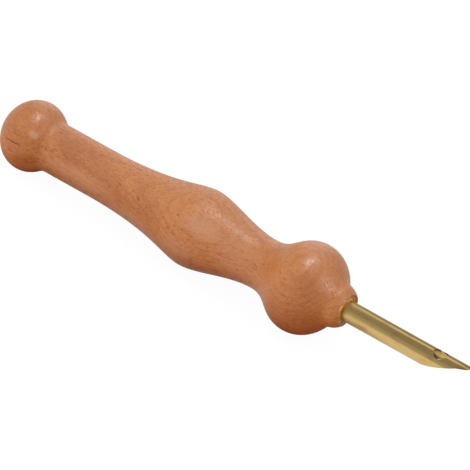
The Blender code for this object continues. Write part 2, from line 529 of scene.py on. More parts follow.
    def marks(self, add: Adder, place: Socket, marks: list[tuple[Mark, Vector, Vector]]) -> Socket | float:
        """Share of the marks: soft ellipsoids that reach deep inwards.

        Flecks, darker patches and painted shade are long where a ring cuts the surface, and the other marks
        are long along the grain.

        Args:
            add: Adds a node to the material.
            place: Object coordinates.
            marks: The marks, each with its place in metres and the surface's normal there.

        Returns:
            The share.
        """
        share: Socket | float = 0.0
        for mark, centre, normal in marks:
            along = Vector((1, 0, 0)) - Vector((1, 0, 0)).project(normal)
            if mark.kind is MarkKind.FLECK_AND_SHADE:
                along = normal.cross(Vector(self.ring_normal))
            along.normalize()
            axes = Matrix((along, normal.cross(along), normal)).transposed()
            size = Vector((mark.length, mark.width, mark.length)) * (MM / 2)
            lie = {"Vector": place, "Location": centre, "Rotation": axes.to_euler(), "Scale": size}
            near = add("Mapping", {"vector_type": "TEXTURE"}, lie)[0]
            reach = add("VectorMath", LENGTH, (near,))["Value"]
            spot = add("MapRange", SMOOTH, (reach, *self.mark_ramp, mark.depth))[0]
            share = add("Math", {"operation": "MAXIMUM"}, (share, spot))[0]
        return share


@dataclass(frozen=True)
class DrawnBrass:
    """Brass tube, drawn through a die: a bright yellow metal with fine lines along it and a little tarnish.

    Attributes:
        bright, dull: The metal, clean and tarnished.
        line: Length and width of a draw line.
        line_bump, line_height: Strength and height of the lines' relief.
        cloud: Length and width of a cloud of tarnish.
        brown, brown_ramp: Tint of the thickest tarnish, along the clouds' noise.
        green, green_ramp: Tint of the cleanest metal, along the clouds' noise.
        burn, burn_share: Brown of the ground point, which grinding has heated, and how much of it shows.
        burn_length: How far back from the point the brown reaches.
        bore, bore_share: Brown of the wall inside, which no die has polished, and how much of it shows.
        bore_depth: How far into the metal that wall's dull skin fades out.
        smear: Distances from the point between which a smear of glue grows towards the root.
        polish: Roughness of the metal along the clouds' noise.
        matt: What the wall inside and the smear add to that.
    """

    bright: str = "#EACB88"
    dull: str = "#DDB873"
    line: Pair = (9.0, 0.3)
    line_bump: float = 0.25
    line_height: float = 0.02
    cloud: Pair = (4.0, 1.3)
    brown: str = "#B98350"
    brown_ramp: Ramp = (0.54, 0.74, 0.0, 0.5)
    green: str = "#C9C68C"
    green_ramp: Ramp = (0.46, 0.26, 0.0, 0.25)
    burn: str = "#A0683C"
    burn_share: float = 0.5
    burn_length: float = 5.0
    bore: str = "#DDB47A"
    bore_share: float = 0.5
    bore_depth: float = 0.15
    smear: Pair = (20.0, 36.0)
    polish: Ramp = (0.3, 0.7, 0.08, 0.18)
    matt: float = 0.2

    def material(self, tip: float, inner: float) -> bpy.types.Material:
        """Make the metal.

        Args:
            tip: Station of the needle's point.
            inner: Radius of the wall inside.

        Returns:
            The material.
        """
        material, add = empty_material("drawn_brass")
        place = add("TexCoord", {}, {})["Object"]
        noises = []
        for length, width in (self.line, self.cloud):
            size = {"Vector": place, "Scale": (1 / MM / length, 1 / MM / width, 1 / MM / width)}
            drawn = add("Mapping", {}, size)[0]
            noise = {"Vector": drawn, "Scale": 1.0, "Detail": 3.0}
            noises.append(add("TexNoise", {}, noise)["Fac"])
        lines, clouds = noises
        station = add("SeparateXYZ", {}, (place,))[0]
        cross = add("VectorMath", TIMES, (place, ACROSS))[0]
        radius = add("VectorMath", LENGTH, (cross,))["Value"]

        wall = ((inner + self.bore_depth) * MM, (inner + self.bore_depth / 3) * MM)
        heated = ((tip - self.burn_length) * MM, tip * MM)
        tints = (
            (self.bore, radius, *wall, 0.0, self.bore_share),
            (self.brown, clouds, *self.brown_ramp),
            (self.green, clouds, *self.green_ramp),
            (self.burn, station, *heated, 0.0, self.burn_share),
        )
        both = {0: clouds, 6: linear(self.bright), 7: linear(self.dull)}
        colour = add("Mix", COLOURS, both)[2]
        for tint, *ramp in tints:
            share = add("MapRange", SMOOTH, tuple(ramp))[0]
            colour = add("Mix", COLOURS, {0: share, 6: colour, 7: linear(tint)})[2]

        roughness = add("MapRange", {}, (clouds, *self.polish))[0]
        smear = [(tip - reach) * MM for reach in self.smear]
        for value, reach in ((radius, wall), (station, smear)):
            matt = add("MapRange", {}, (value, *reach, 0.0, self.matt))[0]
            roughness = add("Math", {"operation": "ADD"}, (roughness, matt))[0]
        bump = {"Height": lines, "Strength": self.line_bump, "Distance": self.line_height * MM}
        relief = add("Bump", {}, bump)[0]
        look = {"Base Color": colour, "Metallic": 1.0, "Roughness": roughness, "Normal": relief}
        shader = add("BsdfPrincipled", {}, look)
        add("OutputMaterial", {}, {"Surface": shader[0]})
        return material


@dataclass(frozen=True)
class AmberGlue:
    """Set glue squeezed out of the joint: clear amber, wet-looking, darker where it is thick.

    Attributes:
        thin: Colour of the thin film.
        thick, thick_ramp: Colour of the thick parts, along the lumps' noise.
        lump: Size of a lump.
        lump_bump, lump_height: Strength and height of the lumps' relief.
        roughness, ior, specular: Its skin.
    """

    thin: str = "#F2C270"
    thick: str = "#A4622A"
    thick_ramp: Ramp = (0.5, 0.66)
    lump: float = 0.8
    lump_bump: float = 0.35
    lump_height: float = 0.15
    roughness: float = 0.3
    ior: float = 1.5
    specular: float = 0.3

    def material(self) -> bpy.types.Material:
        """Make the glue."""
        material, add = empty_material("amber_glue")
        place = add("TexCoord", {}, {})["Object"]
        noise = {"Vector": place, "Scale": 1 / MM / self.lump, "Detail": 2.0}
        lumps = add("TexNoise", {}, noise)["Fac"]
        share = add("MapRange", SMOOTH, (lumps, *self.thick_ramp))[0]
        both = {0: share, 6: linear(self.thin), 7: linear(self.thick)}
        bump = {"Height": lumps, "Strength": self.lump_bump, "Distance": self.lump_height * MM}
        look = {
            "Base Color": add("Mix", COLOURS, both)[2],
            "Roughness": self.roughness,
            "IOR": self.ior,
            "Specular IOR Level": self.specular,
            "Normal": add("Bump", {}, bump)[0],
        }
        shader = add("BsdfPrincipled", {}, look)
        add("OutputMaterial", {}, {"Surface": shader[0]})
        return material


@dataclass
class Handle:
    """The turned handle: rear knob, shaft, grip, neck, ball and nose, bored for yarn and needle.

    Lengths run from knob centre to swell, crest, neck, ball centre and nose face. Each ease is a pair of
    shares of a stretch's own length over which its curve stays level at the two ends. The nose is sanded
    back a little from the solid's flat face, and a rounded lip falls from it to the root of the needle.
    """

    knob_diameter: float = 20.3
    knob_length: float = 17.9
    knob_fillet: float = 1.6
    shaft_diameter: float = 14.3
    grip_diameter: float = 22.8
    swell_length: float = 33.8
    taper_length: float = 21.75
    neck_diameter: float = 14.6
    neck_length: float = 14.15
    neck_fillet: float = 3.6
    ball_diameter: float = 26.2
    ball_length: float = 22.5
    nose_diameter: float = 12.9
    nose_reach: float = 13.7
    nose_wear: float = 0.55
    nose_fillet: float = 1.5
    nose_face_diameter: float = 9.6
    rear_face_diameter: float = 8.6
    bore_diameter: float = 6.0
    mouth_round: float = 0.4
    dish: float = 1.0
    seat_diameter: float = 6.6
    seat_depth: float = 32.0
    swell_ease: Pair = (0.655, 0.16)
    taper_ease: Pair = (0.25, 0.355)
    fillet_ease: Pair = (0.42, 0.38)
    columns: int = 192
    marks: tuple[Mark, ...] = (
        Mark(-69.6, 77.5, 7.6, 0.5, 0.95, MarkKind.CRACK),
        # Painted highlights on grip and taper, and painted sheen low on the near side by the neck
        Mark(-6.8, 51.5, 17.0, 8.0, 0.3, MarkKind.PAINTED_HIGHLIGHT),
        Mark(4.0, 57.0, 18.0, 9.0, 0.16, MarkKind.PAINTED_HIGHLIGHT),
        Mark(6.0, 88.0, 22.0, 8.0, 0.14, MarkKind.PAINTED_HIGHLIGHT),
        # Painted shade in the lower crease between knob and shaft
        Mark(-64.9, 103.0, 14.0, 5.0, 0.22),
        # A darker patch on the swell
        Mark(-27.0, 56.0, 18.0, 9.0, 0.18),
        # Painted shade on the middle and on the underside of the ball
        Mark(27.0, 62.0, 20.0, 15.0, 0.13),
        Mark(27.0, 112.0, 24.0, 18.0, 0.22),
        # Darker patches along the shaft and on the knob
        Mark(-44.0, 48.0, 44.0, 9.0, 0.17),
        Mark(-54.0, 41.0, 18.0, 9.0, 0.22),
        Mark(-72.0, 55.0, 20.0, 16.0, 0.1),
        # Painted highlight on the knob, and painted sheen along the lower near side of shaft and grip
        Mark(-64.8, 51.5, 4.0, 3.4, 0.45, MarkKind.PAINTED_HIGHLIGHT),
        Mark(-48.0, 88.0, 32.0, 8.0, 0.22, MarkKind.PAINTED_HIGHLIGHT),
        Mark(-29.0, 113.0, 24.0, 8.0, 0.22, MarkKind.PAINTED_HIGHLIGHT),
        Mark(-12.0, 96.0, 18.0, 9.0, 0.16, MarkKind.PAINTED_HIGHLIGHT),
        # Dark ray flecks
        Mark(-60.7, 62.6, 1.3, 0.5, 0.55),
        Mark(-58.6, 62.9, 1.7, 0.55, 0.6),
        Mark(-48.9, 46.1, 1.2, 0.4, 0.4),
        Mark(-45.6, 14.8, 1.6, 0.5, 0.4),
        Mark(-38.3, 69.8, 1.3, 0.5, 0.55),
        Mark(-36.4, 62.8, 1.0, 0.4, 0.4),
        Mark(-33.8, 49.5, 1.4, 0.45, 0.45),
        Mark(-28.8, 59.8, 2.4, 0.65, 0.7),
        Mark(-24.3, 59.7, 1.8, 0.5, 0.5),
        Mark(-14.8, 51.0, 1.5, 0.6, 0.65),
        Mark(-14.7, 24.3, 1.6, 0.5, 0.4),
        Mark(20.2, 52.9, 1.4, 0.6, 0.4),
        Mark(-45.8, 65.7, 1.2, 0.45, 0.5),
        Mark(-44.3, 67.2, 1.2, 0.45, 0.5),
        Mark(-27.3, 77.5, 1.4, 0.5, 0.5),
        Mark(-18.7, 64.8, 1.3, 0.45, 0.45),
        Mark(-16.0, 75.5, 1.5, 0.5, 0.5),
        Mark(-13.5, 79.4, 1.6, 0.5, 0.5),
        Mark(-16.0, 90.0, 2.2, 0.5, 0.45),
        Mark(-0.5, 90.8, 3.6, 0.45, 0.45),
        Mark(-1.8, 97.5, 3.0, 0.45, 0.4),
        Mark(3.3, 76.9, 2.6, 0.45, 0.45),
        Mark(10.5, 63.8, 2.2, 0.5, 0.55),
    )

    def __post_init__(self) -> None:
        """Take the stations along the axis from the frame, and chain the rest from the nose face back."""
        self.rear, front = Node.HANDLE.ends()
        self.nose_face = front - self.nose_wear
        self.ball_station = self.nose_face - self.nose_reach
        self.neck_station = self.ball_station - self.neck_length
        self.crest_station = self.neck_station - self.taper_length
        self.swell_station = self.crest_station - self.swell_length
        rear_share = self.rear_face_diameter / self.knob_diameter
        self.knob_station = self.rear + self.knob_length / 2 * math.sqrt(1 - rear_share**2)
        self.ball = Ellipse(self.ball_station, self.ball_length / 2, self.ball_diameter / 2)

    def nose(self) -> Ellipse:
        """Ellipse of the domed nose, which leaves the ball at its own largest radius."""
        start = self.ball.points(self.ball.angle_at_radius(self.nose_diameter / 2, True))[0]
        share = math.sqrt(1 - (self.nose_face_diameter / self.nose_diameter) ** 2)
        return Ellipse(start, (self.nose_face - start) / share, self.nose_diameter / 2)

    def hollow(self, start: Array, leave: Array, end: Array, meet: Array, count: int) -> Array:
        """Fillet between two curves: a cubic eased over shares of the distance that it spans.

        Args:
            start, end: Its ends.
            leave, meet: Unit steps along the curves that it joins.
            count: Number of points.

        Returns:
            Points of (station, radius).
        """
        span = np.linalg.norm(end - start)
        first, last = self.fillet_ease
        return cubic([start, start + leave * span * first, end - meet * span * last, end], count)

    def flank(self, start: Array, end: Array, ease: Pair, count: int) -> Array:
        """A cubic that is level at both ends, eased over shares of its own length."""
        reach = np.array([end[0] - start[0], 0.0])
        return cubic([start, start + reach * ease[0], end - reach * ease[1], end], count)

    def outline(self) -> Array:
        """Outer profile from the rear face to the nose face.

        Knob, ball and nose are ellipses, and cubics lie between them.

        Returns:
            Points of (station, radius).
        """
        level = np.array([1.0, 0.0])
        knob = Ellipse(self.knob_station, self.knob_length / 2, self.knob_diameter / 2)
        ball, nose = self.ball, self.nose()
        shaft_radius, neck_radius = self.shaft_diameter / 2, self.neck_diameter / 2

        rear = knob.angle_at_radius(self.rear_face_diameter / 2, False)
        knob_end = knob.angle_at_radius(shaft_radius + self.knob_fillet, True)
        shaft_start = knob.points(knob.angle_at_radius(shaft_radius, True)) + level * self.knob_fillet
        swell = np.array([self.swell_station, shaft_radius])
        crest = np.array([self.crest_station, self.grip_diameter / 2])
        neck = np.array([self.neck_station, neck_radius])
        ball_start = ball.angle_at_radius(neck_radius + self.neck_fillet, False)
        ball_end = ball.angle_at_radius(nose.radius + self.nose_fillet, True)
        nose_start = nose.angle_at_station(nose.centre + self.nose_fillet)
        nose_end = nose.angle_at_radius(self.nose_face_diameter / 2, True)
        nose_foot = nose.points(nose_start), nose.heading(nose_start)

        stretches = [
            knob.arc(rear, knob_end, 60),
            self.hollow(knob.points(knob_end), knob.heading(knob_end), shaft_start, level, 14),
            np.linspace(shaft_start, swell, 24),
            self.flank(swell, crest, self.swell_ease, 64),
            self.flank(crest, neck, self.taper_ease, 48),
            self.hollow(neck, level, ball.points(ball_start), ball.heading(ball_start), 28),
            ball.arc(ball_start, ball_end, 64),
            self.hollow(ball.points(ball_end), ball.heading(ball_end), *nose_foot, 12),
            nose.arc(nose_start, nose_end, 24),
        ]
        return np.vstack([stretches[0]] + [stretch[1:] for stretch in stretches[1:]])

    def lip(self, angles: Array) -> Array:
        """Points of the lip: a quarter ellipse from the level of the nose face to the line of the seat."""
        seat, edge = self.seat_diameter / 2, self.nose_face_diameter / 2
        station = self.nose_face - self.dish * (1 - np.cos(angles))
        return np.stack([station, edge - (edge - seat) * np.sin(angles)], axis=-1)

    def bores(self) -> Array:
        """Inner profile from the nose face back to the rear face.

        It has the lip, the seat and its shoulder, the yarn bore and a rounded mouth.

        Returns:
            Points of (station, radius).
        """
        seat, bore = self.seat_diameter / 2, self.bore_diameter / 2
        lip = self.lip(np.linspace(0, math.pi / 2, 10))
        shoulder = self.nose_face + self.nose_wear - self.seat_depth
        mouth = Ellipse(self.rear + self.mouth_round, self.mouth_round, self.mouth_round)
        around = mouth.arc(math.pi / 2, math.pi, 7)
        corners = np.array([[shoulder, seat], [shoulder, bore]])
        throat = np.linspace([shoulder, bore], [self.rear + self.mouth_round, bore], 24)
        # The mouth is a quarter circle that flares from the bore to the rear face
        flare = np.stack([around[:, 0], bore + self.mouth_round - around[:, 1]], axis=-1)
        return np.vstack([lip[1:], corners, throat[1:], flare[1:]])

    def on_surface(self, mark: Mark) -> tuple[Vector, Vector]:
        """Place of a mark on the surface, in metres, and the surface's normal there."""
        station, radius = self.outline().T
        angle = math.radians(mark.angle)
        slope = np.interp(mark.station, station, np.gradient(radius, station))
        place = round_axis(mark.station, np.interp(mark.station, station, radius), angle)
        return Vector(place * MM), Vector(round_axis(-slope, 1.0, angle)).normalized()

    def build(self, finish: VarnishedBeech) -> bpy.types.Object:
        """Turn the closed section of outline and bores about the axis, and dress it in wood."""
        section = np.vstack([self.outline(), self.bores()])
        surface = Patch(turn(section, whole_turn(self.columns)), loop=True)
        wood = finish.material([(mark, *self.on_surface(mark)) for mark in self.marks])
        piece = make_piece("turned_handle", [surface], wood)
        hand_in(piece, Node.HANDLE)
        return piece


@dataclass
class Needle:
    """The brass tube: ground to a long bevel below, with an eye drilled through the wall above.

    Attributes:
        diameter, wall: Size of the tube.
        bevel_length: Length of the bevel along the axis, from heel to point.
        heel_margin: Length of whole tube behind the bevel that its grid takes in.
        tongue_length, tongue_depth: Size of the last, flatter part of the bevel, from knee to point.
        tip_land: Height of the blunt end that the bevel leaves at the point.
        eye_diameter, eye_setback: Size of the eye, and its centre's distance from the point.
        edge: Size of the rounding on every edge.
        columns: Points round the tube, a multiple of four.
        rows: Points along the bevelled part.
        window_columns: Columns on each side of the top that the eye's patch takes up.
        window_rows: First and last row of the eye's patch.
    """

    diameter: float = 6.0
    wall: float = 0.5
    bevel_length: float = 15.7
    heel_margin: float = 1.0
    tongue_length: float = 3.3
    tongue_depth: float = 0.76
    tip_land: float = 0.08
    eye_diameter: float = 4.2
    eye_setback: float = 9.5
    edge: float = 0.06
    columns: int = 128
    rows: int = 64
    window_columns: int = 26
    window_rows: tuple[int, int] = (15, 45)

    def __post_init__(self) -> None:
        """Take the ends from the frame."""
        self.root, self.tip = Node.NEEDLE.ends()
        self.outer = self.diameter / 2
        self.inner = self.outer - self.wall
        self.heel = self.tip - self.bevel_length - self.heel_margin
        self.eye_station = self.tip - self.eye_setback
        self.left = self.columns // 2 - self.window_columns
        self.right = self.columns // 2 + self.window_columns

    def end_station(self, height: Array) -> Array:
        """Where the tube ends at a height: on the bevel up to its knee, the tongue or the blunt end."""
        heights = [-self.outer, self.outer - self.tongue_depth, self.outer - self.tip_land]
        return self.tip - np.interp(height, heights, [self.bevel_length, self.tongue_length, 0.0])

    def on_wall(self, share: Array, angle: Array, radius: float) -> Array:
        """Points of a wall, at a share of the way from the heel to a rounding's width before the end."""
        end = self.end_station(radius * np.cos(angle)) - self.edge
        return round_axis(self.heel + share * (end - self.heel), radius, angle)

    def grid(self) -> tuple[Array, Array]:
        """Shares along the bevelled part, and angles that start and end at the bottom."""
        return np.linspace(0, 1, self.rows + 1), np.linspace(-math.pi, math.pi, self.columns + 1)

    def wall_patches(self, radius: float) -> list[Patch]:
        """A wall of the bevelled part, with a window left out round the eye.

        Args:
            radius: Radius of the wall.

        Returns:
            Patches behind the window, in front of it and on its two sides.
        """
        share, angle = self.grid()
        points = self.on_wall(share[:, None], angle[None, :], radius)
        first, last = self.window_rows
        beside = points[first : last + 1]
        cuts = [points[: first + 1], points[last:], beside[:, : self.left + 1], beside[:, self.right :]]
        return [Patch(cut, ring=False) for cut in cuts]

    def window_border(self) -> tuple[Array, Array]:
        """Shares and angles round the border of the eye's window, in one turn that starts at its front.

        Returns:
            Shares and angles.
        """
        share, angle = self.grid()
        first, last = self.window_rows
        ahead, over = np.arange(first, last), np.arange(self.left, self.right)
        right, left = np.full_like(ahead, self.right), np.full_like(ahead, self.left)
        front, back = np.full_like(over, last), np.full_like(over, first)
        columns = np.concatenate([over, right, over[::-1] + 1, left])
        rows = np.concatenate([front, ahead[::-1] + 1, back, ahead])
        return share[rows], angle[columns]

    def eye_turn(self) -> Array:
        """Angle about the eye's own centre for each point of the window's border."""
        share, angle = self.window_border()
        across = angle / np.max(angle)
        along = (share - share.mean()) / np.ptp(share) * 2
        return np.arctan2(across, along)

    def eye_rim(self, grow: Array | float, radius: float, sink: Array | float) -> Array:
        """Points round the eye: a circle about its centre, seen from above, dropped onto a wall.

        Args:
            grow: How much wider than the eye the circle is.
            radius: Radius of the wall.
            sink: How far below that wall the points lie.

        Returns:
            Points round the eye, by three.
        """
        turn_angle = self.eye_turn()
        wide = self.eye_diameter / 2 + grow
        station = self.eye_station + wide * np.cos(turn_angle)
        side = wide * np.sin(turn_angle)
        height = np.sqrt(radius**2 - side**2) - sink
        return np.stack(np.broadcast_arrays(station, -side, height), axis=-1)

    def window_patch(self, radius: float) -> Patch:
        """The wall round the eye: rings that pass in equal steps from the eye's rim to the window's border.

        Args:
            radius: Radius of the wall.

        Returns:
            The patch, its first row at the eye.
        """
        border_share, border_angle = self.window_border()
        rim = self.eye_rim(self.edge, radius, 0.0)
        rim_angle = np.arctan2(-rim[:, 1], rim[:, 2])
        end = self.end_station(radius * np.cos(rim_angle)) - self.edge
        rim_share = (rim[:, 0] - self.heel) / (end - self.heel)
        step = np.linspace(0, 1, 15)[:, None]
        share = rim_share + (border_share - rim_share) * step
        angle = rim_angle + (border_angle - rim_angle) * step
        return Patch(self.on_wall(share, angle, radius))

    def eye_patch(self) -> Patch:
        """The drilled wall of the eye: a quarter round at each end and a straight stretch between.

        Returns:
            The patch, from the inner wall to the outer one.
        """
        bend = np.linspace(0, math.pi / 2, 5)[:, None]
        grow = self.edge * (1 - np.sin(bend))
        sink = self.edge * (1 - np.cos(bend))
        upper = np.stack([self.eye_rim(g, self.outer, s) for g, s in zip(grow, sink)])
        lower = np.stack([self.eye_rim(g, self.inner, -s) for g, s in zip(grow, sink)])
        return Patch(np.vstack([lower, upper[::-1]]))

    def end_patch(self) -> Patch:
        """The ground rim: round the outer edge, along the bevel plane and round the inner edge.

        Returns:
            The patch, from the outer wall to the inner one.
        """
        _, angle = self.grid()
        radii = np.linspace(self.outer, self.inner, 9)[:, None]
        flat = round_axis(self.end_station(radii * np.cos(angle)), radii, angle[None, :])
        steps = np.linspace(0, 1, 5)[:, None, None]

        def rounded(wall: Array, corner: Array, inward: Array) -> Array:
            """Quadratic curve from the wall to the rim, that heads for the corner."""
            along = inward - corner
            meet = corner + along * (self.edge / np.linalg.norm(along, axis=-1, keepdims=True))
            return (1 - steps) ** 2 * wall + 2 * steps * (1 - steps) * corner + steps**2 * meet

        outer_wall = self.on_wall(np.ones(1), angle, self.outer)
        inner_wall = self.on_wall(np.ones(1), angle, self.inner)
        outer_edge = rounded(outer_wall, flat[0], flat[1])
        inner_edge = rounded(inner_wall, flat[-1], flat[-2])
        return Patch(np.vstack([outer_edge, flat[1:-1], inner_edge[::-1]]), ring=False)

    def plain_patch(self) -> Patch:
        """The plain part of the tube: in along the bore from the heel, round the root and out again.

        Returns:
            The patch, from the inner wall at the heel to the outer wall at the heel.
        """
        _, angle = self.grid()
        stations = np.linspace(self.heel, self.root, 40)
        inside = np.stack([stations, np.full_like(stations, self.inner)], axis=-1)
        outside = np.stack([stations[::-1], np.full_like(stations, self.outer)], axis=-1)
        return Patch(turn(np.vstack([inside, outside]), angle), ring=False)

    def build(self, finish: DrawnBrass) -> bpy.types.Object:
        """Put the walls, the eye, the rim and the plain part together, and dress them in brass."""

        def reverse(patch: Patch) -> Patch:
            """The same patch with its faces turned round."""
            return Patch(patch.points[::-1], patch.ring, patch.loop)

        patches = [self.plain_patch(), self.end_patch(), self.eye_patch()]
        patches += self.wall_patches(self.outer) + [self.window_patch(self.outer)]
        patches += [reverse(patch) for patch in self.wall_patches(self.inner)]
        patches += [reverse(self.window_patch(self.inner))]
        piece = make_piece("brass_needle", patches, finish.material(self.tip, self.inner))
        hand_in(piece, Node.NEEDLE)
        return piece


def waves(angle: Array, rows: tuple[Triple, ...]) -> Array:
    """Sum of waves round the axis: height times the sine of count times angle plus phase, for each row."""
    return sum(height * np.sin(count * angle + phase) for height, count, phase in rows)


@dataclass
class GlueRing:
    """Glue squeezed out round the root of the needle, spread unevenly over the nose.

    Attributes:
        places, reach: Places round the ring, in degrees, and its outer radius at each.
        soften: Columns to each side in the running mean that rounds the corners between those places.
        edge_waves, crown_waves: Height, count and phase of the waves of the outer edge, and of those of the
            crown, whose heights are shares of its climb.
        climb: Height to which the glue fills the lip at the tube.
        sag: How much lower that level is at the outer edge.
        film: Thickness of the film over the nose.
        blend: Rounding where the film meets the fill.
        sunk: How far the ring reaches into the tube and the nose, which it holds.
        columns: Points round the ring.
        rows: Points from the tube to the outer edge.
    """

    places: tuple[float, ...] = (-47.0, 0.0, 20.0, 53.0, 80.0, 105.0, 150.0, 260.0)
    reach: tuple[float, ...] = (3.9, 4.1, 4.4, 4.9, 4.9, 4.2, 3.9, 3.9)
    soften: int = 4
    edge_waves: tuple[Triple, ...] = ((0.1, 7.0, 0.6), (0.08, 13.0, 2.0))
    crown_waves: tuple[Triple, ...] = ((0.12, 3.0, 1.0), (0.06, 8.0, 0.0))
    climb: float = 0.69
    sag: float = 0.4
    film: float = 0.12
    blend: float = 0.05
    sunk: float = 0.08
    columns: int = 160
    rows: int = 20

    def build(self, handle: Handle, needle: Needle, finish: AmberGlue) -> bpy.types.Object:
        """Carry a hollow section round the needle, its foot on the nose and its crown on the tube.

        The crown and the foot wander with the angle. The top between them is the rounded maximum of two
        heights: a film that follows the nose and thins to nothing at the foot like a quarter circle, and a
        fill that is level at the tube and sags with the square of the way out.

        Args:
            handle: Handle whose nose the ring lies on.
            needle: Needle that it holds.
            finish: Its glue.

        Returns:
            The piece.
        """
        angle = whole_turn(self.columns)
        spread = np.interp(np.degrees(angle), self.places, self.reach, period=360)
        wide = 2 * self.soften + 1
        closed = np.concatenate([spread[-self.soften :], spread, spread[: self.soften]])
        spread = np.convolve(closed, np.ones(wide) / wide, "valid") + waves(angle, self.edge_waves)
        crown = self.climb * (1 + waves(angle, self.crown_waves))

        outline = handle.outline()
        dome = outline[outline[:, 0] > handle.ball_station]
        lip = handle.lip(np.linspace(0, math.pi / 2, 24))
        nose_station, nose_radius = np.vstack([dome, lip[1:]])[::-1].T
        foot = np.interp(spread, nose_radius, nose_station)
        root = handle.nose_face - handle.dish
        tube = np.full_like(angle, needle.outer - self.sunk)

        way = np.linspace(0, 1, self.rows)[:, None]
        radius = needle.outer + (spread - needle.outer) * way
        film = np.interp(radius, nose_radius, nose_station) + self.film * np.sqrt(1 - way**2)
        fill = root + crown - self.sag * way**2
        top = (film + fill) / 2 + np.hypot((film - fill) / 2, self.blend * (1 - way))
        stations = np.vstack([np.full_like(angle, root - self.sunk), root + crown, top, foot - self.sunk])
        section = np.vstack([tube, tube, radius, spread - self.sunk])
        points = round_axis(stations, section, angle[None, :])
        piece = make_piece("glue_ring", [Patch(points[::-1], loop=True)], finish.material())
        hand_in(piece, Node.BEAD)
        return piece


@dataclass(frozen=True)
class Lamp:
    """A small square softbox that faces the part and shows as a highlight. Diffuse light is the surround's.

    Attributes:
        name: What it is.
        azimuth, elevation: Where it stands, in degrees, seen from the part.
        distance: How far off it stands, in metres.
        side: Length of its side, in metres.
        power: Its light, in watts.
    """

    name: str
    azimuth: float
    elevation: float
    distance: float
    side: float
    power: float

    def direction(self) -> Vector:
        """Unit step from the part towards the lamp."""
        azimuth, elevation = math.radians(self.azimuth), math.radians(self.elevation)
        flat = math.cos(elevation)
        return Vector((math.sin(azimuth) * flat, -math.cos(azimuth) * flat, math.sin(elevation)))

    def build(self, lit: bpy.types.Collection) -> None:
        """Hang the lamp.

        Args:
            lit: The pieces that it lights.
        """
        light = bpy.data.lights.new(self.name, "AREA")
        light.shape = "SQUARE"
        light.size = self.side
        light.energy = self.power
        lamp = bpy.data.objects.new(self.name, light)
        lamp.location = self.direction() * self.distance
        lamp.rotation_euler = (-self.direction()).to_track_quat("-Z", "Y").to_euler()
        lamp.visible_camera = False
        lamp.visible_diffuse = False
        lamp.light_linking.receiver_collection = lit
        bpy.context.scene.collection.objects.link(lamp)


@dataclass(frozen=True)
class Zone:
    """A round part of the surround, whose level differs from the rest.

    Attributes:
        axis: Direction of its middle, seen from the part.
        ramp: Cosines of the angle from that direction, and the levels far from it and near it.
    """

    axis: Triple
    ramp: Ramp


